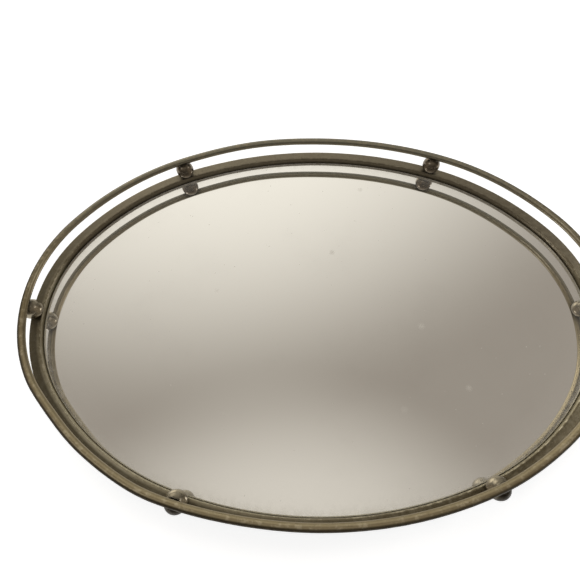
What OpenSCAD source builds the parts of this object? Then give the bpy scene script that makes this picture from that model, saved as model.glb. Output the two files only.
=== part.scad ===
// Oval mirrored vanity tray with a ball gallery.
//
// A bar bent into an oval ring holds a mirror. Six drilled balls stand on the ring, each on its own
// pin, and carry a round gallery rail. A sheet plate closes the underside and four ball feet with
// felt pads are screwed through it into the ring.
//
// Millimetres, +Z up. The origin is the centre of the oval on the surface that the tray stands on.
// X runs along the tray, Y from front to back.

/* [Oval] */
// Radius of the gallery rail's centre line at the two ends
end_r = 76.5; // [72:0.5:80]
// Radius of the centre line at the four shoulders
shoulder_r = 133.5; // [125:0.5:145]
// Radius of the centre line along the two long sides
side_r = 209.5; // [195:0.5:240]

/* [Gallery] */
// Diameter of the round rod that makes the gallery rail
rail_d = 3.8; // [3.5:0.1:4.5]
// Diameter of each gallery ball
ball_d = 10.3; // [9:0.1:12]
// How deep a ball is filed flat to sit on the ring, and saddled to take the rail
ball_seat = 0.25; // [0.2:0.05:0.4]
// Diameter of the pin through each ball
pin_d = 2; // [1.5:0.1:2.2]
// How far a pin goes into the ring
pin_in_ring = 4.5; // [3:0.5:5]
// How far a pin goes into the rail
pin_in_rail = 2; // [1:0.5:2.5]

/* [Ring] */
// Width of the ring's bar
ring_w = 5.6; // [5.4:0.1:6.2]
// Height of the ring's bar
ring_h = 7.85; // [7.5:0.05:8.5]
// How far the ring's inner wall lies inside the rail's centre line
ring_inset = 3; // [2.8:0.1:3.2]
// Radius on the ring's four long edges
ring_edge_r = 0.5; // [0.3:0.1:0.8]

/* [Mirror] */
// Thickness of the glass
glass_t = 3; // [2:0.5:3]
// How far the mirror's face lies below the top of the ring
glass_drop = 3.25; // [2.8:0.05:3.6]
// Width of the ground edge around the mirror's face
glass_arris = 0.5; // [0.4:0.1:1.2]
// Gap between the ring and what lies inside it
ring_gap = 0.2; // [0.2:0.1:0.5]
// Thickness of the double-sided tape under the mirror
tape_t = 0.5; // [0.3:0.1:0.7]
// Width of each strip of tape
tape_w = 12; // [8:1:16]

/* [Underside] */
// Thickness of the sheet plate under the ring
plate_t = 1; // [0.8:0.1:1.5]
// How far the plate's edge lies inside the ring's outer edge
plate_inset = 0.4; // [0.3:0.1:0.8]
// Thickness of the felt underlay
felt_t = 1; // [0.8:0.1:2]
// How far the felt's edge lies inside the rail's centre line
felt_inset = 6; // [5.5:0.5:10]

/* [Feet] */
// Diameter of each ball foot
foot_d = 11; // [10:0.5:12]
// Direction in which the four feet face, from the long axis
foot_turn = 60; // [50:1:66]
// Diameter of the felt pad under each foot
pad_d = 7; // [6.6:0.1:7.4]
// Thickness of each felt pad
pad_t = 1.2; // [1:0.1:1.5]

/* [Hidden] */
// Ball feet are cut flat this far above and below their middle.
foot_above = 3.0;
foot_below = 3.5;
pad_recess = 0.5;

// Foot screws: pan head, driven up through the foot and the plate into the ring.
foot_screw_d = 2;
foot_screw_head_d = 4;
foot_screw_head_h = 1.6;
foot_screw_in_ring = 4.5;
foot_head_room = 2.2;
foot_head_play = 0.4; // on the diameter of the head's recess

// Plate screws: countersunk, flush with the plate.
plate_screw_d = 2;
plate_screw_head_d = 3.6;
plate_screw_head_h = 0.8;
plate_screw_in_ring = 4;
plate_screw_turns = [40, 90, 140, 220, 270, 320];

// Strips of tape along the tray, at these shares of its half width, and each this share of its length.
tape_rows = [-0.6, -0.2, 0.2, 0.6];
tape_reach = 0.85;

drive_w = 0.5;      // width of the slots in a screw's cross recess
drive_depth = 0.6;
screw_play = 0.05;  // on a hole's diameter
foot_hole_d = foot_screw_d + screw_play;
plate_hole_d = plate_screw_d + screw_play;
cut = 0.01;         // how far a cutter runs past the face that it cuts
fine = 180;
round_fn = 64;
tallest = 60;       // more than the tray's whole height

// Levels, from the surface that the tray stands on.
foot_z = pad_t - pad_recess;
foot_mid_z = foot_z + foot_below;
plate_z = foot_mid_z + foot_above;
ring_z = plate_z + plate_t;
ring_top_z = ring_z + ring_h;
glass_top_z = ring_top_z - glass_drop;
glass_z = glass_top_z - glass_t;
board_t = glass_z - tape_t - ring_z;
ball_z = ring_top_z + ball_d / 2 - ball_seat;
rail_z = ball_z + ball_d / 2 - ball_seat + rail_d / 2;
felt_z = plate_z - felt_t;

// Offsets outward from the rail's centre line.
ring_in = -ring_inset;
ring_out = ring_in + ring_w;
ring_mid = ring_in + ring_w / 2;
inside = ring_in - ring_gap;
plate_out = ring_out - plate_inset;

// The oval is eight arcs that meet smoothly: two ends, two sides and four shoulders. Where two arcs
// meet, both centres lie on one line through the join, along a direction from a whole-number triangle.
join_1 = [0.8, 0.6];
join_2 = [0.352, 0.936];
half_l = end_r + join_1.x * (shoulder_r - end_r) + join_2.x * (side_r - shoulder_r);
end_c = [half_l - end_r, 0];
shoulder_c = end_c - (shoulder_r - end_r) * join_1;
side_c = shoulder_c - (side_r - shoulder_r) * join_2;
half_w = side_c.y + side_r;

function flip_x(v) = [-v.x, v.y];
function flip_y(v) = [v.x, -v.y];

// Each arc, anticlockwise: centre, radius, and the outward directions at its start and its end.
ARCS = [
    [end_c, end_r, flip_y(join_1), join_1],
    [shoulder_c, shoulder_r, join_1, join_2],
    [side_c, side_r, join_2, flip_x(join_2)],
    [flip_x(shoulder_c), shoulder_r, flip_x(join_2), flip_x(join_1)],
    [-end_c, end_r, flip_x(join_1), -join_1],
    [-shoulder_c, shoulder_r, -join_1, -join_2],
    [-side_c, side_r, -join_2, flip_y(join_2)],
    [flip_y(shoulder_c), shoulder_r, flip_y(join_2), flip_y(join_1)],
];

// The point at an offset where the oval faces along the unit vector u.
function arc_of(u) = abs(u.y) < join_1.y ? ARCS[0] : abs(u.y) < join_2.y ? ARCS[1] : ARCS[2];
function from_quarter(p, u) = [u.x < 0 ? -p.x : p.x, u.y < 0 ? -p.y : p.y];
function oval_point(u, offset) =
    from_quarter(arc_of(u)[0] + (arc_of(u)[1] + offset) * [abs(u.x), abs(u.y)], u);

// Six balls and four feet, by the directions that the oval faces where they stand. The balls are
// spaced by eye, so they lie a degree or two off an even layout.
BALLS = ["right", "back_right", "back_left", "left", "front_left", "front_right"];
FEET = ["back_right", "back_left", "front_left", "front_right"];
ball_turns = [0, 69.5, 112.5, 181.5, 251.5, 290.5];
foot_turns = [foot_turn, 180 - foot_turn, 180 + foot_turn, 360 - foot_turn];

// Moves its children to where the oval faces a direction, with +X pointing outward.
module at_oval(turn, offset) {
    translate(oval_point([cos(turn), sin(turn)], offset)) rotate(turn) children();
}

// The part of a plane that an arc spans, as a triangle from its centre.
module arc_sector(arc) {
    polygon([arc[0], arc[0] + 2 * arc[1] * arc[2], arc[0] + 2 * arc[1] * arc[3]]);
}

// Sweeps a profile around the oval. The profile's X is the offset from the rail's centre line.
module sweep_oval() {
    for (arc = ARCS)
        intersection() {
            translate(arc[0]) rotate_extrude($fn = fine) translate([arc[1], 0]) children();
            linear_extrude(tallest) arc_sector(arc);
        }
}

// The oval's whole area out to an offset: a polygon between the joins, and a segment on each arc.
module oval_area(offset) {
    polygon([for (arc = ARCS) arc[0] + (arc[1] + offset) * arc[2]]);
    for (arc = ARCS) {
        start = arc[0] + (arc[1] + offset) * arc[2];
        end = arc[0] + (arc[1] + offset) * arc[3];
        intersection() {
            translate(arc[0]) circle(arc[1] + offset, $fn = 2 * fine);
            polygon([start, start + arc[1] * arc[2], end + arc[1] * arc[3], end]);
        }
    }
}

module oval_sheet(offset, z, thickness) {
    translate([0, 0, z]) linear_extrude(thickness) oval_area(offset);
}

// A rectangle with rounded corners, its lower left corner at the origin.
module round_bar(w, h, r) {
    translate([r, 0]) square([w - 2 * r, h]);
    translate([0, r]) square([w, h - 2 * r]);
    for (x = [r, w - r], y = [r, h - r])
        translate([x, y]) circle(r, $fn = round_fn);
}

module hole(d, z, depth) {
    translate([0, 0, z]) cylinder(d = d, h = depth, $fn = round_fn);
}

// A cross recess, cut upward into a screw head whose face is at z = 0.
module cross_recess(width) {
    for (turn = [0, 90])
        rotate(turn) translate([-width / 2, -drive_w / 2, -cut]) cube([width, drive_w, drive_depth + cut]);
}

module countersunk_head() {
    cylinder(d1 = plate_screw_head_d, d2 = plate_screw_d, h = plate_screw_head_h, $fn = round_fn);
}

module base_ring() {
    color("#6e6448") difference() {
        sweep_oval() translate([ring_in, ring_z]) round_bar(ring_w, ring_h, ring_edge_r);
        for (turn = ball_turns)
            at_oval(turn, 0) hole(pin_d, ring_top_z - pin_in_ring, pin_in_ring + cut);
        for (turn = foot_turns)
            at_oval(turn, ring_mid) hole(foot_hole_d, ring_z - cut, foot_screw_in_ring + cut);
        for (turn = plate_screw_turns)
            at_oval(turn, ring_mid) hole(plate_hole_d, ring_z - cut, plate_screw_in_ring + cut);
    }
}

module gallery_rail() {
    color("#7a6f52") difference() {
        sweep_oval() translate([0, rail_z]) circle(d = rail_d, $fn = round_fn);
        for (turn = ball_turns)
            at_oval(turn, 0) hole(pin_d, rail_z - rail_d / 2 - cut, pin_in_rail + cut);
    }
}

module gallery_ball(turn) {
    color("#5a4e3c") at_oval(turn, 0) difference() {
        translate([0, 0, ball_z]) sphere(d = ball_d, $fn = round_fn);
        translate([-ball_d / 2, -ball_d / 2, ring_top_z - ball_d]) cube(ball_d);
        translate([0, 0, rail_z]) rotate([90, 0, 0])
            cylinder(d = rail_d, h = ball_d, center = true, $fn = round_fn);
        hole(pin_d, ring_z, rail_z);
    }
}

module ball_pin(turn) {
    bottom = ring_top_z - pin_in_ring;
    top = rail_z - rail_d / 2 + pin_in_rail;
    color("silver") at_oval(turn, 0) hole(pin_d, bottom, top - bottom);
}

module mirror_plate() {
    color("#d9d6cc") difference() {
        oval_sheet(inside, glass_z, glass_t);
        sweep_oval() polygon([
            [inside - glass_arris, glass_top_z + cut],
            [inside + cut, glass_top_z + cut],
            [inside + cut, glass_top_z - glass_arris],
            [inside, glass_top_z - glass_arris],
            [inside - glass_arris, glass_top_z],
        ]);
    }
}

module mounting_tape() {
    color("white") for (y = tape_rows) {
        strip_l = tape_reach * 2 * half_l * sqrt(1 - y * y);
        translate([-strip_l / 2, y * half_w - tape_w / 2, glass_z - tape_t]) cube([strip_l, tape_w, tape_t]);
    }
}

module backing_board() {
    color("#8f8a80") oval_sheet(inside, ring_z, board_t);
}

module base_plate() {
    color("#3c362a") difference() {
        oval_sheet(plate_out, plate_z, plate_t);
        for (turn = foot_turns)
            at_oval(turn, ring_mid) hole(foot_hole_d, plate_z - cut, plate_t + 2 * cut);
        for (turn = plate_screw_turns)
            at_oval(turn, ring_mid) {
                hole(plate_hole_d, plate_z - cut, plate_t + 2 * cut);
                translate([0, 0, plate_z]) countersunk_head();
            }
    }
}

module felt_underlay() {
    color("#23201c") oval_sheet(-felt_inset, felt_z, felt_t);
}

module plate_screws() {
    color("#9a958a") for (turn = plate_screw_turns)
        at_oval(turn, ring_mid) translate([0, 0, plate_z]) difference() {
            union() {
                countersunk_head();
                cylinder(d = plate_screw_d, h = plate_t + plate_screw_in_ring, $fn = round_fn);
            }
            cross_recess(plate_screw_d);
        }
}

module foot(turn) {
    head_top = foot_z + pad_recess + foot_head_room;
    color("#3a3326") at_oval(turn, ring_mid) difference() {
        intersection() {
            translate([0, 0, foot_mid_z]) sphere(d = foot_d, $fn = round_fn);
            translate([-foot_d / 2, -foot_d / 2, foot_z]) cube([foot_d, foot_d, foot_above + foot_below]);
        }
        hole(pad_d, foot_z - cut, pad_recess + cut);
        hole(foot_screw_head_d + foot_head_play, foot_z, head_top - foot_z);
        hole(foot_hole_d, foot_z, foot_above + foot_below + cut);
    }
}

module foot_screw(turn) {
    head_top = foot_z + pad_recess + foot_head_room;
    head_bottom = head_top - foot_screw_head_h;
    color("silver") at_oval(turn, ring_mid) translate([0, 0, head_bottom]) difference() {
        union() {
            cylinder(d = foot_screw_head_d, h = foot_screw_head_h, $fn = round_fn);
            cylinder(d = foot_screw_d, h = ring_z + foot_screw_in_ring - head_bottom, $fn = round_fn);
        }
        cross_recess(foot_screw_d);
    }
}

module foot_pad(turn) {
    color("#1d1b19") at_oval(turn, ring_mid) hole(pad_d, 0, pad_t);
}

base_ring();
gallery_rail();
mirror_plate();  // mirror
mounting_tape();
backing_board();
base_plate();
felt_underlay();
plate_screws();

for (i = [0:len(BALLS) - 1]) {
    gallery_ball(ball_turns[i]);
    ball_pin(ball_turns[i]);
}

for (i = [0:len(FEET) - 1]) {
    foot(foot_turns[i]);
    foot_screw(foot_turns[i]);
    foot_pad(foot_turns[i]);
}
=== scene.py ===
import math

import bpy
from mathutils import Matrix, Vector, noise


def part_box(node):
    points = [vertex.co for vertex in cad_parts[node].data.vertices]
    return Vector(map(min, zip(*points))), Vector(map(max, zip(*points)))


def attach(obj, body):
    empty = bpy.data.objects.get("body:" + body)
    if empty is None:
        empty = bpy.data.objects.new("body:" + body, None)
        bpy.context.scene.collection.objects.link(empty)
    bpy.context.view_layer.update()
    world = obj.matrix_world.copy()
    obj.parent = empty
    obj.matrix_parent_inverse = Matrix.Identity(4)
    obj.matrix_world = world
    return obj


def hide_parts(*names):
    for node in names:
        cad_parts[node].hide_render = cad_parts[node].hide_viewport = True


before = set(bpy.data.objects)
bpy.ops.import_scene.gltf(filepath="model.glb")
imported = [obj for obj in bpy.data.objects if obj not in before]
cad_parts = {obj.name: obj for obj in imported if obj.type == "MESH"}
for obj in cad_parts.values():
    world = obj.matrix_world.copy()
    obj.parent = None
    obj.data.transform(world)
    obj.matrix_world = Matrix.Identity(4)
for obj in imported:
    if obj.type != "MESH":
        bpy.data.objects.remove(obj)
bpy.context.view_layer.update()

# The oval mirrored tray's looks. Metres throughout, +Z up, in the CAD model's own frame. Every piece
# here takes its place from a CAD node's box and from the oval that the whole tray follows.

FULL_TURN = 2 * math.pi
MM = 0.001

# How finely the pieces are cut: round a turned piece and round a pad, and across the mirror and the
# felt in strips.
TURNED_SEGMENTS = 56
PAD_SEGMENTS = 64
MIRROR_STRIPS = 24
FELT_STRIPS = 70

# ---------------------------------------------------------------- the oval that everything follows

# The rail's centre line is an oval of arcs: the radii at its ends, shoulders and sides, and the
# directions it faces where the end meets the shoulder and where the shoulder meets the side.
END_R = 0.0765
SHOULDER_R = 0.1335
SIDE_R = 0.2095
JOIN_1 = Vector((0.8, 0.6))
JOIN_2 = Vector((0.352, 0.936))

rail_low, rail_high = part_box("gallery_rail")
RAIL_R = (rail_high.z - rail_low.z) / 2
RAIL_Z = (rail_high.z + rail_low.z) / 2
HALF_L = rail_high.x - RAIL_R
END_C = Vector((HALF_L - END_R, 0))
SHOULDER_C = END_C - (SHOULDER_R - END_R) * JOIN_1
SIDE_C = SHOULDER_C - (SIDE_R - SHOULDER_R) * JOIN_2
TURN_1 = math.atan2(JOIN_1.y, JOIN_1.x)
TURN_2 = math.atan2(JOIN_2.y, JOIN_2.x)

# Where the balls and the feet stand: the direction in degrees that the oval faces there.
BALLS = {
    "right": 0,
    "back_right": 69.5,
    "back_left": 112.5,
    "left": 181.5,
    "front_left": 251.5,
    "front_right": 290.5,
}
FEET = {"back_right": 60, "back_left": 120, "front_left": 240, "front_right": 300}

# The ring's bar: its width, how far outward of the rail's centre line its inner wall lies, and the
# radius of its long edges. The feet stand under its middle.
RING_W = 5.6 * MM
RING_IN = -3.0 * MM
RING_EDGE_R = 0.5 * MM
FOOT_OFFSET = RING_IN + RING_W / 2


def oval_point(turn, offset=0.0):
    """The point at an offset outward from the rail's centre line, where the oval faces a turn."""
    across = Vector((abs(math.cos(turn)), abs(math.sin(turn))))
    folded = math.atan2(across.y, across.x)
    centre, radius = SIDE_C, SIDE_R
    if folded < TURN_1:
        centre, radius = END_C, END_R
    elif folded < TURN_2:
        centre, radius = SHOULDER_C, SHOULDER_R
    point = centre + (radius + offset) * across
    return Vector((math.copysign(point.x, math.cos(turn)), math.copysign(point.y, math.sin(turn))))


def quarter_turns(step):
    """Turns from 0 up to a quarter turn, about a step apart along the rail's centre line."""
    arcs = ((END_R, 0, TURN_1), (SHOULDER_R, TURN_1, TURN_2), (SIDE_R, TURN_2, math.pi / 2))
    turns = []
    for radius, start, end in arcs:
        count = max(1, round(radius * (end - start) / step))
        turns += [start + (end - start) * i / count for i in range(count)]
    return turns


def oval_turns(step):
    """Turns all the way round, the same in each quarter, so that station i mirrors station -i."""
    quarter = quarter_turns(step)
    half = quarter + [math.pi / 2] + [math.pi - t for t in reversed(quarter[1:])]
    return half + [math.pi + t for t in half]


def lengths_along(turns):
    """Distance along the rail's centre line at each turn, and once more for the whole way round."""
    total, lengths = 0.0, [0.0]
    for i in range(len(turns)):
        total += (oval_point(turns[(i + 1) % len(turns)]) - oval_point(turns[i])).length
        lengths.append(total)
    return lengths


def gap_to_ball(turn):
    """How far along the rail a turn is from the nearest ball."""
    here = oval_point(turn)
    return min((here - oval_point(math.radians(ball_turn))).length for ball_turn in BALLS.values())


def clamp(value, high=1.0):
    """A value kept between 0 and its highest."""
    return min(high, max(0.0, value))


def fade_from(turn, middle, reach):
    """1 where the oval faces the middle direction, fading to 0 at a reach either side, in degrees."""
    return max(0.0, 1 - ((math.degrees(turn) - middle) / reach) ** 2)


# ---------------------------------------------------------------- making meshes


def make_piece(name, points, faces, materials, face_material=None, uvs=None, layers=None, sharp=None):
    """A mesh object from points and faces, with its materials, its UVs and its named weights."""
    mesh = bpy.data.meshes.new(name)
    mesh.from_pydata([tuple(p) for p in points], [], faces)
    for material in materials:
        mesh.materials.append(material)
    if face_material:
        mesh.polygons.foreach_set("material_index", face_material)
    if uvs:
        layer = mesh.uv_layers.new(name="along")
        layer.uv.foreach_set("vector", [x for face in uvs for uv in face for x in uv])
    for weight, values in (layers or {}).items():
        mesh.attributes.new(weight, "FLOAT", "POINT").data.foreach_set("value", values)
    mesh.polygons.foreach_set("use_smooth", [True] * len(mesh.polygons))
    if sharp:
        mesh.set_sharp_from_angle(angle=math.radians(sharp))
    mesh.update()
    piece = bpy.data.objects.new(name, mesh)
    bpy.context.scene.collection.objects.link(piece)
    return piece


def place_piece(piece, slot, *nodes):
    """Rides the piece on the tray, in the place of its CAD nodes."""
    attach(piece, "root")
    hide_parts(*nodes)


def sweep_piece(name, turns, loop, material, shift, weights):
    """A closed bar swept round the oval.

    loop is the profile's corners as (offset, height), going round once. shift gives each point's small
    departure from it, and weights the named weights there, both from (turn, index in the loop).
    """
    along = lengths_along(turns)
    round_it = [0.0]
    for i, corner in enumerate(loop):
        after = loop[(i + 1) % len(loop)]
        round_it.append(round_it[-1] + math.dist(corner, after))
    points, layers = [], {}
    for turn in turns:
        for i, (offset, height) in enumerate(loop):
            out, up = shift(turn, i)
            flat = oval_point(turn, offset + out)
            points.append((flat.x, flat.y, height + up))
            for weight, value in weights(turn, i).items():
                layers.setdefault(weight, []).append(value)
    faces, uvs = [], []
    n = len(loop)
    for j in range(len(turns)):
        after = (j + 1) % len(turns)
        for i in range(n):
            beside = (i + 1) % n
            faces.append((j * n + i, after * n + i, after * n + beside, j * n + beside))
            low, high = round_it[i], round_it[i + 1]
            uvs.append(((along[j], low), (along[j + 1], low), (along[j + 1], high), (along[j], high)))
    return make_piece(name, points, faces, [material], uvs=uvs, layers=layers)


def lathe_piece(name, middle, turn, column, material, weights):
    """A ring-shaped solid turned about an upright line, such as a drilled ball.

    column gives the profile for one direction round the line, as (radius, height) going once round
    the section. Direction 0 lies along the rail, and a quarter turn faces outward. weights gives the
    named weights there, from the direction and the share of the way round the section.
    """
    outward = Vector((math.cos(turn), math.sin(turn)))
    sideways = Vector((math.sin(turn), -math.cos(turn)))
    points, layers, n = [], {}, 0
    for j in range(TURNED_SEGMENTS):
        angle = FULL_TURN * j / TURNED_SEGMENTS
        direction = sideways * math.cos(angle) + outward * math.sin(angle)
        section = column(angle)
        n = len(section)
        for i, (radius, height) in enumerate(section):
            x, y = middle.x + direction.x * radius, middle.y + direction.y * radius
            points.append((x, y, middle.z + height))
            for weight, value in weights(angle, i / n).items():
                layers.setdefault(weight, []).append(value)
    faces = []
    for j in range(TURNED_SEGMENTS):
        after = (j + 1) % TURNED_SEGMENTS
        for i in range(n):
            beside = (i + 1) % n
            faces.append((j * n + i, after * n + i, after * n + beside, j * n + beside))
    return make_piece(name, points, faces, [material], layers=layers, sharp=50)


def arc_points(middle, radius, start, end, count):
    """Points along an arc in a profile, from one angle to another in degrees."""
    angles = [math.radians(start + (end - start) * i / count) for i in range(count + 1)]
    return [(middle[0] + radius * math.cos(a), middle[1] + radius * math.sin(a)) for a in angles]


def curve_points(start, pull, end, count):
    """Points along a quadratic curve in a profile, without its two ends."""
    points = []
    for i in range(1, count):
        t = i / count
        near, mid, far = (1 - t) ** 2, 2 * t * (1 - t), t * t
        points.append(tuple(near * a + mid * b + far * c for a, b, c in zip(start, pull, end)))
    return points


def waver(turn, seed, scale):
    """Smooth noise from -1 to 1 that comes back to its start after a whole turn."""
    flat = oval_point(turn) * scale
    return noise.noise(Vector((flat.x, flat.y, seed)))


# ---------------------------------------------------------------- making materials


class Shader:
    """A material's nodes, with short calls for the few kinds that the tray needs."""

    def __init__(self, name, **surface):
        self.material = bpy.data.materials.new(name)
        self.material.use_nodes = True
        self.tree = self.material.node_tree
        self.surface = self.tree.nodes["Principled BSDF"]
        for socket, value in surface.items():
            self.surface.inputs[socket.replace("_", " ")].default_value = value

    def add(self, kind, **settings):
        node = self.tree.nodes.new(kind)
        for setting, value in settings.items():
            setattr(node, setting, value)
        return node

    def feed(self, socket, value):
        """Links an output to a socket, or sets the socket to a plain value."""
        if isinstance(value, bpy.types.NodeSocket):
            self.tree.links.new(value, socket)
        else:
            socket.default_value = value

    def place(self):
        """Where a point is on the piece, in metres."""
        return self.add("ShaderNodeTexCoord").outputs["Object"]

    def lengthwise(self, along, across):
        """Distance along and across a swept bar, each multiplied by its own scale."""
        mapping = self.add("ShaderNodeMapping")
        self.feed(mapping.inputs["Vector"], self.add("ShaderNodeUVMap", uv_map="along").outputs[0])
        self.feed(mapping.inputs["Scale"], (along, across, 1))
        return mapping.outputs[0]

    def part(self, vector, axis):
        """One of a vector's three parts, by its letter."""
        split = self.add("ShaderNodeSeparateXYZ")
        self.feed(split.inputs[0], vector)
        return split.outputs[axis]

    def noise(self, vector, scale, detail=3.0, roughness=0.5):
        node = self.add("ShaderNodeTexNoise")
        self.feed(node.inputs["Vector"], vector)
        self.feed(node.inputs["Scale"], scale)
        self.feed(node.inputs["Detail"], detail)
        self.feed(node.inputs["Roughness"], roughness)
        return node.outputs[0]

    def cells(self, vector, scale):
        """Distance from the middle of the nearest of many scattered cells."""
        node = self.add("ShaderNodeTexVoronoi")
        self.feed(node.inputs["Vector"], vector)
        self.feed(node.inputs["Scale"], scale)
        return node.outputs["Distance"]

    def spread(self, value, low, high, to_low=0.0, to_high=1.0):
        """Maps a value's range onto another, smoothly and without going past its ends."""
        node = self.add("ShaderNodeMapRange", interpolation_type="SMOOTHSTEP")
        sockets = ("Value", "From Min", "From Max", "To Min", "To Max")
        for socket, number in zip(sockets, (value, low, high, to_low, to_high)):
            self.feed(node.inputs[socket], number)
        return node.outputs[0]

    def math(self, operation, *values):
        node = self.add("ShaderNodeMath", operation=operation)
        for socket, value in zip(node.inputs, values):
            self.feed(socket, value)
        return node.outputs[0]

    def blend(self, amount, one, other):
        """One colour, or another where the amount is 1."""
        node = self.add("ShaderNodeMix", data_type="RGBA")
        self.feed(node.inputs[0], amount)
        self.feed(node.inputs[6], one)
        self.feed(node.inputs[7], other)
        return node.outputs[2]

    def weight(self, name):
        """A weight that the mesh carries, such as painted shade, painted light or wear."""
        return self.add("ShaderNodeAttribute", attribute_name=name).outputs["Fac"]

    def bump(self, height, distance, strength=1.0):
        node = self.add("ShaderNodeBump")
        self.feed(node.inputs["Height"], height)
        self.feed(node.inputs["Distance"], distance)
        self.feed(node.inputs["Strength"], strength)
        self.feed(self.surface.inputs["Normal"], node.outputs[0])

    def finish(self, **sockets):
        for socket, value in sockets.items():
            self.feed(self.surface.inputs[socket.replace("_", " ")], value)
        return self.material


def tint(red, green, blue):
    return (red, green, blue, 1.0)


def aged_metal(name, front, back, pale, worn, dark, sheen, streaked, mottle, pitted, relief):
    """Tarnished brass: one tone to the front and one to the back, pale in patches and worn on its edges.

    The two tones differ partly as painted light, for how the front and the back are lit. One weight
    paints shade, darkening towards the dark colour, which also colours the small pits; another paints
    light, lightening towards the worn colour. Worn patches and specks are stronger towards the front,
    partly as painted light.

    sheen is the roughness of the polished and of the dull patches. streaked is true on drawn bars,
    whose fine lines run along them. mottle is how far the pale patches show, pitted how far the small
    dark ones do, and relief how deep the surface's unevenness is.
    dark ones do, and relief how deep the surface's unevenness is.
    """
    shader = Shader(name, Metallic=1.0)
    place = shader.place()
    patches = shader.noise(place, scale=45, detail=3, roughness=0.5)
    clouds = shader.noise(place, scale=420, detail=4, roughness=0.6)
    grit = shader.noise(place, scale=2600, detail=3, roughness=0.6)
    grain = grit
    if streaked:
        grain = shader.noise(shader.lengthwise(160, 5200), scale=1, detail=3, roughness=0.6)
    # The tone changes from front to back along Y. The change is partly painted light, for how each side
    # is lit.
    depth = shader.math("MULTIPLY_ADD", patches, 0.08, shader.part(place, "Y"))
    backward = shader.spread(depth, 0.0, 0.13)
    forward = shader.math("SUBTRACT", 1.0, backward)
    colour = shader.blend(backward, front, back)
    colour = shader.blend(shader.spread(clouds, 0.40, 0.72, 0.0, mottle), colour, pale)
    scratched = shader.math("MULTIPLY", shader.spread(grain, 0.52, 0.74), 0.22)
    colour = shader.blend(scratched, colour, worn)
    # Worn patches, stronger towards the front, and specks at the front only: real wear, partly painted
    # light on the brighter front.
    rubbed = shader.math("MULTIPLY", shader.weight("wear"), shader.spread(clouds, 0.46, 0.64))
    rubbed = shader.math("MULTIPLY", rubbed, shader.spread(forward, 0.0, 1.0, 0.35, 1.0))
    if streaked:
        specks = shader.math("MULTIPLY", shader.spread(grit, 0.64, 0.74), forward)
        rubbed = shader.math("MAXIMUM", rubbed, specks)
    # Worn colour where wear rubs, and where a weight paints light on the surface.
    colour = shader.blend(shader.math("MAXIMUM", rubbed, shader.weight("polish")), colour, worn)
    # Painted shade from its weight, darkening towards the dark colour, together with small real pits.
    pits = shader.noise(place, scale=1100, detail=3, roughness=0.6)
    shade_and_pits = shader.math("MULTIPLY", shader.weight("grime"), shader.spread(clouds, 0.20, 0.55, 0.8, 1.0))
    shade_and_pits = shader.math("MAXIMUM", shade_and_pits, shader.spread(pits, 0.57, 0.70, 0.0, pitted))
    colour = shader.blend(shade_and_pits, colour, dark)
    dull = shader.spread(clouds, 0.35, 0.65, sheen[0], sheen[1])
    dull = shader.math("ADD", dull, shader.math("MULTIPLY", shade_and_pits, 0.15))
    fine = shader.math("MULTIPLY", grain, 0.5)
    shader.bump(shader.math("MULTIPLY_ADD", clouds, 0.6, fine), relief, 0.5)
    return shader.finish(Base_Color=colour, Roughness=dull)


def mirror_face():
    """Silvered glass with dust, a few pale marks, wiped smudges and a hazy rim."""
    shader = Shader("mirror_face")
    place = shader.place()
    smudge = shader.spread(shader.noise(place, scale=28, detail=5, roughness=0.6), 0.50, 0.75)
    dusty = shader.spread(shader.noise(place, scale=60, detail=2, roughness=0.5), 0.52, 0.58)
    specks = shader.spread(shader.cells(place, 230), 0.05, 0.10, 1.0, 0.0)
    specks = shader.math("MULTIPLY", shader.math("MULTIPLY", specks, dusty), 0.4)
    marked = shader.spread(shader.noise(place, scale=17, detail=2, roughness=0.5), 0.50, 0.58)
    marks = shader.spread(shader.cells(place, 42), 0.02, 0.10, 1.0, 0.0)
    marks = shader.math("MULTIPLY", shader.math("MULTIPLY", marks, marked), 0.5)
    dust = shader.math("MAXIMUM", specks, marks)
    streaks = shader.noise(place, scale=330, detail=3, roughness=0.6)
    streaks = shader.spread(streaks, 0.35, 0.70, 0.3, 1.0)
    haze = shader.math("MULTIPLY", shader.math("POWER", shader.weight("rim"), 5.0), streaks)
    veil = shader.math("MULTIPLY", shader.weight("rim"), 0.12)
    film = shader.math("MAXIMUM", dust, shader.math("MULTIPLY_ADD", haze, 0.32, veil))
    colour = shader.blend(smudge, tint(0.92, 0.915, 0.90), tint(0.90, 0.895, 0.88))
    colour = shader.blend(film, colour, tint(0.62, 0.60, 0.55))
    rough = shader.math("ADD", shader.math("MULTIPLY", smudge, 0.02), 0.010)
    rough = shader.math("ADD", rough, shader.math("MULTIPLY", shader.math("MAXIMUM", dust, haze), 0.12))
    return shader.finish(Base_Color=colour, Roughness=rough, Metallic=shader.math("SUBTRACT", 1.0, film))


def ground_edge():
    """The mirror's ground edge: pale and frosted."""
    shader = Shader("ground_edge", IOR=1.5)
    grind = shader.noise(shader.place(), scale=1800, detail=3, roughness=0.6)
    ground = shader.spread(grind, 0.35, 0.70)
    colour = shader.blend(ground, tint(0.66, 0.65, 0.60), tint(0.90, 0.89, 0.84))
    shader.bump(grind, 0.05 * MM, 0.5)
    return shader.finish(Base_Color=colour, Roughness=shader.spread(grind, 0.3, 0.7, 0.28, 0.5))


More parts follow.
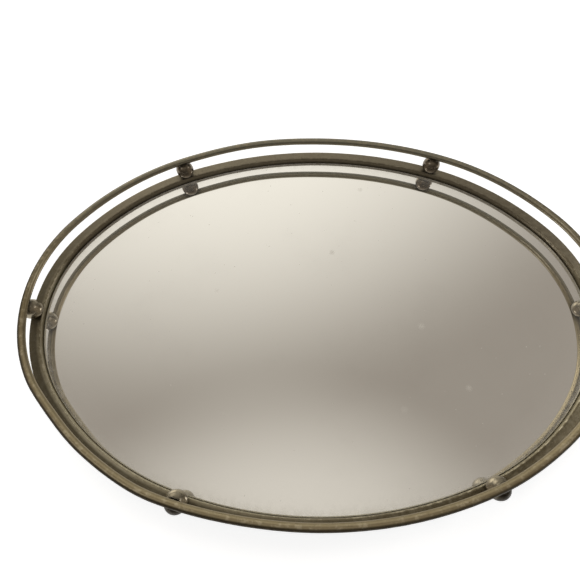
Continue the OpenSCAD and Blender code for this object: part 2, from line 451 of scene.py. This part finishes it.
def felt_cloth():
    """Black felt: matted fibres with a soft sheen and a little lint."""
    shader = Shader("felt_cloth", Metallic=0.0, Sheen_Weight=0.35, Sheen_Roughness=0.6)
    place = shader.place()
    fibres = shader.noise(place, scale=2400, detail=5, roughness=0.75)
    tufts = shader.noise(place, scale=330, detail=3, roughness=0.6)
    lint = shader.spread(shader.noise(place, scale=1500, detail=2, roughness=0.5), 0.70, 0.76)
    matted = shader.spread(fibres, 0.30, 0.72)
    colour = shader.blend(matted, tint(0.010, 0.009, 0.008), tint(0.050, 0.046, 0.042))
    colour = shader.blend(shader.spread(tufts, 0.45, 0.70, 0.0, 0.4), colour, tint(0.030, 0.027, 0.024))
    colour = shader.blend(lint, colour, tint(0.16, 0.15, 0.14))
    shader.bump(shader.math("ADD", fibres, tufts), 0.25 * MM, 0.9)
    return shader.finish(Base_Color=colour, Roughness=0.95)


def painted_plate():
    """The sheet plate's dark satin paint, with fine orange peel and a few rubbed spots."""
    shader = Shader("painted_plate", Metallic=0.25)
    place = shader.place()
    peel = shader.noise(place, scale=900, detail=2, roughness=0.5)
    wash = shader.noise(place, scale=70, detail=4, roughness=0.6)
    rubbed = shader.spread(shader.noise(place, scale=500, detail=4, roughness=0.7), 0.66, 0.74)
    washed = shader.spread(wash, 0.35, 0.65)
    colour = shader.blend(washed, tint(0.034, 0.028, 0.019), tint(0.052, 0.043, 0.030))
    colour = shader.blend(rubbed, colour, tint(0.16, 0.13, 0.08))
    shader.bump(peel, 0.05 * MM, 0.5)
    return shader.finish(Base_Color=colour, Roughness=shader.spread(wash, 0.3, 0.7, 0.42, 0.60))


def brushed_steel():
    """Plated steel screws and pins, with turning marks and some dull patches."""
    shader = Shader("brushed_steel", Metallic=1.0)
    place = shader.place()
    marks = shader.noise(place, scale=5200, detail=3, roughness=0.6)
    dull = shader.noise(place, scale=700, detail=3, roughness=0.6)
    dulled = shader.spread(dull, 0.35, 0.70)
    colour = shader.blend(dulled, tint(0.42, 0.40, 0.36), tint(0.27, 0.25, 0.21))
    shader.bump(marks, 0.02 * MM, 0.6)
    return shader.finish(Base_Color=colour, Roughness=shader.spread(dull, 0.3, 0.7, 0.25, 0.45))


def pressed_board():
    """The grey backing board, with pressed fibres."""
    shader = Shader("pressed_board", Metallic=0.0)
    place = shader.place()
    fibres = shader.noise(place, scale=1300, detail=5, roughness=0.7)
    blotch = shader.noise(place, scale=120, detail=3, roughness=0.6)
    pressed = shader.spread(fibres, 0.30, 0.70)
    colour = shader.blend(pressed, tint(0.17, 0.15, 0.12), tint(0.33, 0.30, 0.25))
    colour = shader.blend(shader.spread(blotch, 0.40, 0.70, 0.0, 0.35), colour, tint(0.14, 0.12, 0.10))
    shader.bump(fibres, 0.1 * MM, 0.6)
    return shader.finish(Base_Color=colour, Roughness=0.85)


def foam_tape():
    """White double-sided foam tape, with small open pores."""
    shader = Shader("foam_tape", Metallic=0.0)
    pores = shader.cells(shader.place(), 1700)
    skin = shader.spread(pores, 0.10, 0.45)
    colour = shader.blend(skin, tint(0.45, 0.44, 0.41), tint(0.74, 0.73, 0.70))
    shader.bump(pores, 0.05 * MM, 0.6)
    return shader.finish(Base_Color=colour, Roughness=0.7)


# In each brass, the front and back tones differ partly as painted light, for how each side of the tray
# is lit.
rail_brass = aged_metal(
    "rail_brass",
    front=tint(0.212, 0.168, 0.095),
    back=tint(0.212, 0.200, 0.155),
    pale=tint(0.262, 0.222, 0.150),
    worn=tint(0.60, 0.53, 0.38),
    dark=tint(0.028, 0.022, 0.013),
    sheen=(0.30, 0.40),
    streaked=True,
    mottle=0.5,
    pitted=0.22,
    relief=0.05 * MM,
)
ring_brass = aged_metal(
    "ring_brass",
    front=tint(0.165, 0.140, 0.090),
    back=tint(0.180, 0.156, 0.115),
    pale=tint(0.230, 0.205, 0.150),
    worn=tint(0.56, 0.51, 0.38),
    dark=tint(0.024, 0.019, 0.012),
    sheen=(0.34, 0.46),
    streaked=True,
    mottle=0.5,
    pitted=0.35,
    relief=0.05 * MM,
)
# The balls' front tone is far lighter than their back: painted light on their lit front.
ball_brass = aged_metal(
    "ball_brass",
    front=tint(0.300, 0.262, 0.195),
    back=tint(0.165, 0.138, 0.105),
    pale=tint(0.270, 0.230, 0.170),
    worn=tint(0.50, 0.43, 0.31),
    dark=tint(0.024, 0.019, 0.012),
    sheen=(0.24, 0.29),
    streaked=False,
    mottle=0.15,
    pitted=0.06,
    relief=0.012 * MM,
)
# Near-black brass: painted shade for the feet, which stand in the tray's shadow.
painted_shade_foot_brass = aged_metal(
    "painted_shade_foot_brass",
    front=tint(0.024, 0.018, 0.010),
    back=tint(0.024, 0.019, 0.011),
    pale=tint(0.045, 0.036, 0.022),
    worn=tint(0.20, 0.16, 0.10),
    dark=tint(0.010, 0.008, 0.005),
    sheen=(0.28, 0.42),
    streaked=False,
    mottle=0.6,
    pitted=0.3,
    relief=0.05 * MM,
)
mirror_material = mirror_face()
edge_material = ground_edge()
felt_material = felt_cloth()
steel_material = brushed_steel()

# ---------------------------------------------------------------- gallery rail

# The bars and the mirror are cut a millimetre apart along the rail's centre line.
STATIONS = oval_turns(1.0 * MM)

# Where the hand-bent rod strays from the oval: how many millimetres outward, round which direction,
# and how widely, both in degrees.
HAND_BENDS = ((-0.6, 223, 6), (1.1, 248, 9), (-0.6, 302, 12), (0.7, 100, 7))

# Round which direction the rail and the ring carry the most painted shade, and how far to either side
# that reaches.
PAINTED_SHADE_SIDE = (205, 80)


def bend_at(turn):
    """How far outward the rod strays at a turn."""
    total = 0.0
    for size, middle, width in HAND_BENDS:
        total += size * MM * math.exp(-(((math.degrees(turn) - middle) / width) ** 2))
    return total


def gallery_rail():
    """A hand-bent round rod with a section a touch uneven.

    Painted shade darkens its outer side, its underside and where it meets the balls; painted light
    brightens its inner side and its top at the front.
    """
    corners = 24
    dent_depth = 0.030 * MM
    sway_width = 0.10 * MM
    joint_reach = 4.5 * MM
    loop = arc_points((0.0, RAIL_Z), RAIL_R, 0, 360 * (corners - 1) / corners, corners - 1)

    def shift(turn, i):
        angle = FULL_TURN * i / corners
        dent = dent_depth * (waver(turn, 3.0 + 0.4 * math.sin(angle), 220) - 1)
        sway = sway_width * waver(turn, 7.0, 28) + bend_at(turn)
        return dent * math.cos(angle) + sway, dent * math.sin(angle)

    def weights(turn, i):
        out, up = math.cos(FULL_TURN * i / corners), math.sin(FULL_TURN * i / corners)
        # Painted shade under the rod next to each ball, on its outer side (most round the darkest
        # direction) and on its underside.
        joint = math.exp(-((gap_to_ball(turn) / joint_reach) ** 2)) if up < 0.2 else 0.0
        outer_side = clamp(1.7 * out - 0.1 + 0.3 * fade_from(turn, *PAINTED_SHADE_SIDE))
        underside = 0.6 * max(0.0, -up) * clamp(1.0 + 2.0 * out)
        # Painted light on the inner side, and on the top at the front.
        inner_side = 0.22 * clamp(-1.6 * out) if up < 0.3 else 0.0
        front_top_light = 0.14 * max(0.0, up) * clamp(-2 * math.sin(turn))
        grime = min(0.95, max(outer_side, underside) + joint)
        polish = max(inner_side * (1 - joint), front_top_light)
        return {"grime": grime, "wear": max(0.0, up - 0.55), "polish": polish}

    piece = sweep_piece("gallery_rail_rod", STATIONS, loop, rail_brass, shift, weights)
    place_piece(piece, "rail_metal", "gallery_rail")


# ---------------------------------------------------------------- base ring

# Round which direction the inner part of the ring's top carries the most painted light, and how far that
# reaches.
PAINTED_LIGHT_TOP = (235, 40)


def base_ring():
    """A flat bar on edge, with rounded corners, filed flats and worn edges."""
    low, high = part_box("base_ring")
    r = RING_EDGE_R
    left, right = RING_IN, RING_IN + RING_W
    bottom, top = low.z, high.z
    flat_w, flat_h = RING_W - 2 * r, top - bottom - 2 * r
    filed = 0.035 * MM
    joint_reach = 4.2 * MM
    loop = arc_points((right - r, top - r), r, 0, 90, 4)
    loop += [(right - r - flat_w * t, top) for t in (0.1, 0.35, 0.65, 0.9)]
    loop += arc_points((left + r, top - r), r, 90, 180, 4)
    loop += [(left, top - r - flat_h * t) for t in (0.1, 0.3, 0.5, 0.7, 0.9)]
    loop += arc_points((left + r, bottom + r), r, 180, 270, 4)
    loop += [(left + r + flat_w * t, bottom) for t in (0.1, 0.5, 0.9)]
    loop += arc_points((right - r, bottom + r), r, 270, 360, 4)
    loop += [(right, bottom + r + flat_h * t) for t in (0.1, 0.3, 0.5, 0.7, 0.9)]

    def shift(turn, i):
        offset, height = loop[i]
        out = filed * (waver(turn, 11.0 + 0.2 * i, 160) - 1) * (1 if offset > 0 else -1)
        up = filed * (waver(turn, 31.0 + 0.2 * i, 160) - 1) * (1 if height > (top + bottom) / 2 else 0)
        return out, up

    def weights(turn, i):
        offset, height = loop[i]
        below_edge = height < top - 0.9 * r
        inner_wall = below_edge and offset < left + 0.2 * r
        outer_wall = below_edge and offset > right - 0.2 * r
        corner = height > top - 0.95 * r and (offset < left + 0.95 * r or offset > right - 0.95 * r)
        upper = height > top - 0.1 * r
        beyond = offset > left + 0.3 * RING_W
        near = math.exp(-((gap_to_ball(turn) / joint_reach) ** 4))
        # Painted shade on the bottom, on the outer wall, on the top under the rail round the darkest
        # direction, and on the top next to each ball.
        grime = max(
            1.0 if height < bottom + 0.5 * r else 0.0,
            0.55 if outer_wall else 0.0,
            0.6 * fade_from(turn, *PAINTED_SHADE_SIDE) if upper and beyond else 0.0,
            0.7 * near if upper else 0.0,
        )
        # Painted light on the inner wall towards the front, and on the inner part of the top round the
        # brightest direction.
        polish = clamp(0.45 - math.sin(turn), 0.9) if inner_wall else 0.0
        if height >= top - 0.95 * r and offset < left + 0.3 * RING_W:
            polish = 0.45 * fade_from(turn, *PAINTED_LIGHT_TOP)
        return {"grime": grime, "wear": (0.7 if corner else 0.08) * (1 - near), "polish": polish}

    piece = sweep_piece("base_ring_bar", STATIONS, loop, ring_brass, shift, weights)
    place_piece(piece, "ring_metal", "base_ring")


# ---------------------------------------------------------------- gallery balls

# A drilled ball: its bore, and how far it is let into the ring.
PIN_R = 1.0 * MM
BALL_SEAT = 0.25 * MM

# The braze over a ball: its reach along the rail and across it, and down the ball.
BRAZE_ALONG = 2.6 * MM
BRAZE_ACROSS = 1.5 * MM
BRAZE_R = 3.0 * MM

# The braze under a ball: where it leaves the ball, and where it meets the ring.
BRAZE_FOOT_R = 2.9 * MM
BRAZE_LIP_R = 2.75 * MM


def gallery_ball(place, turn_deg):
    """A drilled ball, seated on the ring and saddled under the rail, with a fillet of braze at each."""
    node = "gallery_ball_" + place
    ring_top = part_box(node)[0].z
    turn = math.radians(turn_deg)
    flat = oval_point(turn)
    ball_r = (RAIL_Z - RAIL_R - ring_top) / 2 + BALL_SEAT
    middle = Vector((flat.x, flat.y, ring_top + ball_r - BALL_SEAT))
    rail_above = RAIL_Z - middle.z
    seat = -(ball_r - BALL_SEAT)
    seed = 50.0 + turn_deg

    def on_ball(radius):
        return math.sqrt(ball_r ** 2 - radius ** 2)

    def under_rail(radius, angle):
        """A point of the section on the rail's underside, at a radius from the ball's upright line."""
        across = min(abs(radius * math.sin(angle)), 0.95 * RAIL_R)
        return radius, rail_above - math.sqrt(RAIL_R ** 2 - across ** 2)

    def column(angle):
        lump = 1 + 0.10 * noise.noise(Vector((math.cos(angle), math.sin(angle), seed)))
        lip = (BRAZE_ALONG * math.cos(angle) ** 2 + BRAZE_ACROSS * math.sin(angle) ** 2) * lump
        reach = BRAZE_R * lump
        rail_lip = under_rail(lip, angle)
        ball_lip = (reach, on_ball(reach))
        pull = (0.5 * (lip + reach) - 0.25 * MM, ball_lip[1] + 0.12 * MM)
        section = [under_rail(PIN_R, angle), under_rail(0.5 * (PIN_R + lip), angle), rail_lip]
        section += curve_points(rail_lip, pull, ball_lip, 4)
        foot_r = BRAZE_FOOT_R * (2 - lump)
        start, end = math.acos(reach / ball_r), -math.acos(foot_r / ball_r)
        section += arc_points((0, 0), ball_r, math.degrees(start), math.degrees(end), 26)
        ring_lip = (BRAZE_LIP_R * (2 - lump), seat)
        pull = (2.3 * MM, seat + 0.18 * MM)
        section += curve_points((foot_r, -on_ball(foot_r)), pull, ring_lip, 3)
        section += [ring_lip, (PIN_R, seat)]
        return section

    def weights(angle, share):
        # Painted shade at the braze joints under the rail and on the ring, and on the ball's outward
        # side.
        joint = max(0.0, 1 - share / 0.28, (share - 0.80) / 0.12)
        outward = clamp(1.6 * math.sin(angle) - 0.1)
        return {"grime": min(1.0, joint + outward), "wear": 0.0}

    piece = lathe_piece(node + "_turned", middle, turn, column, ball_brass, weights)
    place_piece(piece, "ball_metal", node)


# ---------------------------------------------------------------- mirror

# The glass's bevels above and below, and how far in from its edge the haze on it fades out.
TOP_ARRIS = 0.5 * MM
BOTTOM_ARRIS = 0.2 * MM
RIM_HAZE_W = 14 * MM


def oval_faces(columns, rows, upward):
    """Faces that fill an oval between mirrored stations, as strips from its front to its back."""
    faces = []
    for j in range(len(rows) - 1):
        for i in range(columns):
            corners = [rows[j][i], rows[j][i + 1], rows[j + 1][i + 1], rows[j + 1][i]]
            face = [c for k, c in enumerate(corners) if c != corners[k - 1]]
            faces.append(tuple(face if upward else reversed(face)))
    return faces


def fill_oval(points, start, turns, columns, height, upward, lift=None):
    """Fills the oval loop that starts at a point's index, adding the points that lie inside it."""
    count = len(turns)
    rows = []
    for j in range(count // 2 + 1):
        back, front = start + j, start + (count - j) % count
        if back == front:
            rows.append([back] * (columns + 1))
            continue
        row = [back]
        for i in range(1, columns):
            spot = Vector(points[back][:2]).lerp(Vector(points[front][:2]), i / columns)
            points.append((spot.x, spot.y, height + (lift(spot) if lift else 0.0)))
            row.append(len(points) - 1)
        rows.append(row + [front])
    return oval_faces(columns, rows, upward)


def slab_piece(name, turns, loops, columns, materials, band_material, lift=None, rim=0.0):
    """A flat oval slab: loops of (offset, height) from its bottom's edge to its top's edge.

    columns is how many strips fill its faces from back to front, and band_material the index of the
    material below the top's edge. rim is the width of a band just inside that edge, over which the
    weight of that name fades. lift gives the height of a point inside the bottom over its edge.
    """
    points, faces, face_material = [], [], []
    count = len(turns)
    rows = loops + [(loops[-1][0] - rim, loops[-1][1])] if rim else loops
    for offset, height in rows:
        points += [(*oval_point(turn, offset), height) for turn in turns]
    for k in range(len(rows) - 1):
        under, over = k * count, (k + 1) * count
        for j in range(count):
            after = (j + 1) % count
            faces.append((under + j, under + after, over + after, over + j))
            face_material.append(band_material if k < len(loops) - 1 else 0)
    bottom = fill_oval(points, 0, turns, columns, loops[0][1], False, lift)
    top = fill_oval(points, (len(rows) - 1) * count, turns, columns, loops[-1][1], True)
    faces += bottom + top
    face_material += [band_material] * len(bottom) + [0] * len(top)
    edge = range((len(loops) - 1) * count, len(loops) * count)
    layers = {"rim": [1.0 if i in edge else 0.0 for i in range(len(points))]}
    return make_piece(name, points, faces, materials, face_material, layers=layers, sharp=20)


def mirror():
    """The mirror: a flat reflecting face inside a narrow ground edge."""
    low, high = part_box("mirror")
    edge = high.x - HALF_L
    loops = [
        (edge - BOTTOM_ARRIS, low.z),
        (edge, low.z + BOTTOM_ARRIS),
        (edge, high.z - TOP_ARRIS),
        (edge - TOP_ARRIS, high.z),
    ]
    materials = [mirror_material, edge_material]
    piece = slab_piece("mirror_plate", STATIONS, loops, MIRROR_STRIPS, materials, 1, rim=RIM_HAZE_W)
    place_piece(piece, "mirror_glass", "mirror")


# ---------------------------------------------------------------- feet, pads and underlay

# A ball foot: its radius, how high its middle is over its lower flat, and its softened edges.
FOOT_R = 5.5 * MM
FOOT_MIDDLE = 3.5 * MM
FOOT_SOFTEN = 0.25 * MM

# The recesses in a foot, for its felt pad and for its screw's head, and the bore for the screw.
PAD_RECESS_R = 3.5 * MM
PAD_RECESS_H = 0.5 * MM
HEAD_RECESS_R = 2.2 * MM
HEAD_RECESS_H = 2.2 * MM
SCREW_BORE_R = 1.025 * MM

# A pad's section from the middle of its bottom to the middle of its top, as shares of its radius
# and of its thickness.
PAD_SECTION = (
    (0.35, 0),
    (0.7, 0),
    (0.93, 0.02),
    (0.985, 0.12),
    (1, 0.45),
    (1, 0.8),
    (0.97, 0.97),
    (0.7, 1),
    (0.35, 1),
)


def foot(place, turn_deg):
    """A ball foot, cut flat above and below, bored for its screw and recessed for its pad."""
    node = "foot_" + place
    low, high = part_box(node)
    turn = math.radians(turn_deg)
    flat = oval_point(turn, FOOT_OFFSET)
    middle = Vector((flat.x, flat.y, low.z + FOOT_MIDDLE))
    under, over = low.z - middle.z, high.z - middle.z
    recess = under + PAD_RECESS_H
    head_top = recess + HEAD_RECESS_H
    start = math.degrees(math.asin((over - FOOT_SOFTEN) / FOOT_R))
    end = math.degrees(math.asin((under + FOOT_SOFTEN) / FOOT_R))
    section = [(SCREW_BORE_R, over), (math.sqrt(FOOT_R ** 2 - over ** 2) - FOOT_SOFTEN, over)]
    section += arc_points((0, 0), FOOT_R, start, end, 20)
    section += [
        (math.sqrt(FOOT_R ** 2 - under ** 2) - FOOT_SOFTEN, under),
        (PAD_RECESS_R, under),
        (PAD_RECESS_R, recess),
        (HEAD_RECESS_R, recess),
        (HEAD_RECESS_R, head_top),
        (SCREW_BORE_R, head_top),
    ]

    def weights(_, share):
        # Painted shade at the foot's top, where it meets the plate, growing over its lower part into its
        # recesses.
        at_top, inside = max(0.0, 0.9 - 5 * share), max(0.0, 3 * (share - 0.55))
        return {"grime": min(1.0, at_top + inside), "wear": 0.2}

    piece = lathe_piece(node + "_turned", middle, turn, lambda _: section, painted_shade_foot_brass, weights)
    place_piece(piece, "foot_metal", node)


def foot_pad(place, turn_deg):
    """A small felt disc with a soft, slightly ragged edge."""
    node = "foot_pad_" + place
    low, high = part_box(node)
    flat = oval_point(math.radians(turn_deg), FOOT_OFFSET)
    pad_r = (high.x - low.x) / 2
    pad_t = high.z - low.z
    segments = PAD_SEGMENTS
    points = [(flat.x, flat.y, low.z)]
    for k, (share, level) in enumerate(PAD_SECTION):
        for j in range(segments):
            angle = FULL_TURN * j / segments
            facing = Vector((math.cos(angle), math.sin(angle)))
            fray = noise.noise(Vector((6 * facing.x, 6 * facing.y, k * 0.7 + turn_deg)))
            spot = flat + pad_r * share * (1 - 0.03 * (0.5 + 0.5 * fray)) * facing
            points.append((spot.x, spot.y, low.z + pad_t * level))
    points.append((flat.x, flat.y, high.z))
    top = len(points) - 1
    last = 1 + (len(PAD_SECTION) - 1) * segments
    faces = [(0, 1 + (j + 1) % segments, 1 + j) for j in range(segments)]
    for k in range(len(PAD_SECTION) - 1):
        for j in range(segments):
            here, beside = 1 + k * segments + j, 1 + k * segments + (j + 1) % segments
            faces.append((here, beside, beside + segments, here + segments))
    faces += [(last + j, last + (j + 1) % segments, top) for j in range(segments)]
    piece = make_piece(node + "_felt", points, faces, [felt_material])
    place_piece(piece, "felt", node)


def felt_underlay():
    """The felt that covers the underside, thick and soft at its cut edge."""
    low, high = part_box("felt_underlay")
    edge = high.x - HALF_L
    thick = high.z - low.z
    loops = [
        (edge - 0.35 * MM, low.z),
        (edge - 0.08 * MM, low.z + 0.25 * thick),
        (edge, low.z + 0.6 * thick),
        (edge - 0.05 * MM, high.z),
    ]

    def lift(spot):
        return 0.09 * MM * (1 + noise.noise(Vector((spot.x * 260, spot.y * 260, 4.0))))

    turns = oval_turns(2.4 * MM)
    piece = slab_piece("felt_underlay_cut", turns, loops, FELT_STRIPS, [felt_material], 0, lift)
    place_piece(piece, "felt", "felt_underlay")


# ---------------------------------------------------------------- CAD nodes that keep their shape


def finish_cad_nodes():
    """Materials for the nodes whose CAD shape is what is shown."""
    finishes = {
        "base_plate": painted_plate(),
        "backing_board": pressed_board(),
        "mounting_tape": foam_tape(),
        "plate_screws": steel_material,
    }
    for place in BALLS:
        finishes["ball_pin_" + place] = steel_material
    for place in FEET:
        finishes["foot_screw_" + place] = steel_material
    for node, material in finishes.items():
        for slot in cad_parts[node].material_slots:
            slot.material = material


# ---------------------------------------------------------------- studio


def studio_floor():
    """A plain pale floor, with a very faint unevenness of tone."""
    half = 6.0
    corners = [(-half, -half, 0), (half, -half, 0), (half, half, 0), (-half, half, 0)]
    glow = tint(0.93, 0.96, 1.0)
    shader = Shader("pale_floor", Roughness=0.8, Emission_Color=glow, Emission_Strength=0.66)
    cloud = shader.noise(shader.place(), scale=6, detail=2, roughness=0.5)
    colour = shader.blend(cloud, tint(0.86, 0.86, 0.86), tint(0.88, 0.88, 0.88))
    floor = make_piece("studio_floor", corners, [(0, 1, 2, 3)], [shader.finish(Base_Color=colour)])


def heading(azimuth, elevation):
    """A unit vector, with azimuth in degrees from +Y towards +X."""
    a, e = math.radians(azimuth), math.radians(elevation)
    return Vector((math.cos(e) * math.sin(a), math.cos(e) * math.cos(a), math.sin(e)))


class Sky:
    """Soft light from all round: a plain base and broad lobes that fade smoothly."""

    def __init__(self):
        world = bpy.data.worlds.new("studio_light")
        world.use_nodes = True
        bpy.context.scene.world = world
        self.tree = world.node_tree
        self.ray = self.tree.nodes.new("ShaderNodeTexCoord").outputs["Generated"]
        self.total = None

    def lobe(self, colour, azimuth, elevation, inner, outer):
        """Adds a colour within an outer angle of a heading, full within the inner one."""
        dot = self.tree.nodes.new("ShaderNodeVectorMath")
        dot.operation = "DOT_PRODUCT"
        dot.inputs[1].default_value = heading(azimuth, elevation)
        self.tree.links.new(self.ray, dot.inputs[0])
        fade = self.tree.nodes.new("ShaderNodeMapRange")
        fade.interpolation_type = "SMOOTHSTEP"
        fade.inputs["From Min"].default_value = math.cos(math.radians(outer))
        fade.inputs["From Max"].default_value = math.cos(math.radians(inner))
        self.tree.links.new(dot.outputs["Value"], fade.inputs["Value"])
        tinted = self.tree.nodes.new("ShaderNodeVectorMath")
        tinted.operation = "SCALE"
        tinted.inputs[0].default_value = colour
        self.tree.links.new(fade.outputs[0], tinted.inputs["Scale"])
        self.plus(tinted.outputs[0])

    def plus(self, value):
        """Adds a colour, or an output that gives one, to the light."""
        total = self.tree.nodes.new("ShaderNodeVectorMath")
        if self.total:
            self.tree.links.new(self.total, total.inputs[0])
        if isinstance(value, bpy.types.NodeSocket):
            self.tree.links.new(value, total.inputs[1])
        else:
            total.inputs[1].default_value = value
        self.total = total.outputs[0]

    def finish(self, backdrop):
        """Lights the tray with all of it, and shows a plain backdrop where there is nothing in view."""
        seen = self.tree.nodes.new("ShaderNodeLightPath").outputs["Is Camera Ray"]
        choose = self.tree.nodes.new("ShaderNodeMix")
        choose.data_type = "RGBA"
        self.tree.links.new(seen, choose.inputs[0])
        self.tree.links.new(self.total, choose.inputs[6])
        choose.inputs[7].default_value = backdrop
        self.tree.links.new(choose.outputs[2], self.tree.nodes["Background"].inputs["Color"])


def studio_light():
    """What the mirror shows: a warm room, brightest at the back left, bright behind and overhead.

    The left and right are dim, and the side that the camera is on is dark.
    """
    sky = Sky()
    sky.plus((0.148, 0.137, 0.121))
    sky.lobe((0.186, 0.162, 0.135), azimuth=0, elevation=90, inner=38, outer=75)
    sky.lobe((0.705, 0.698, 0.638), azimuth=-9.4, elevation=23.6, inner=0, outer=57.7)
    sky.lobe((0.425, 0.418, 0.383), azimuth=180, elevation=75, inner=0, outer=32)
    sky.lobe((1.700, 1.620, 1.450), azimuth=-28, elevation=20, inner=5, outer=24)
    for side in (-95, 95):
        sky.lobe((0.250, 0.210, 0.160), azimuth=side, elevation=12, inner=10, outer=42)
    sky.finish(backdrop=tint(0.90, 0.90, 0.89))


def studio_lamp(name, azimuth, elevation, distance, size, power):
    """A soft round lamp that faces the tray."""
    light = bpy.data.lights.new(name, "AREA")
    light.shape = "DISK"
    light.size = size
    light.energy = power
    lamp = bpy.data.objects.new(name, light)
    lamp.location = heading(azimuth, elevation) * distance
    lamp.rotation_euler = (-lamp.location).to_track_quat("-Z", "Y").to_euler()
    bpy.context.scene.collection.objects.link(lamp)


def camera():
    """A hand-held view from above the tray's front edge."""
    place = Vector((-0.01925, -0.0940, 0.2287))
    target = Vector((-0.01536, 0.01049, 0.0128))
    roll = math.radians(1.034)
    lens = bpy.data.cameras.new("view")
    lens.sensor_width = 36
    lens.lens = 27.06
    lens.clip_start = 0.01
    view = bpy.data.objects.new("view", lens)
    aim = (target - place).to_track_quat("-Z", "Y").to_matrix()
    view.matrix_world = Matrix.Translation(place) @ (aim @ Matrix.Rotation(roll, 3, "Z")).to_4x4()
    bpy.context.scene.collection.objects.link(view)
    bpy.context.scene.camera = view


gallery_rail()
base_ring()
mirror()
felt_underlay()
for place, turn_deg in BALLS.items():
    gallery_ball(place, turn_deg)
for place, turn_deg in FEET.items():
    foot(place, turn_deg)
    foot_pad(place, turn_deg)
finish_cad_nodes()

studio_floor()
studio_light()
studio_lamp("lamp_left", azimuth=-110, elevation=52, distance=1.2, size=0.30, power=1.2)
studio_lamp("lamp_right", azimuth=75, elevation=40, distance=1.2, size=0.30, power=1.2)
camera()
bpy.context.scene.view_settings.view_transform = "Standard"
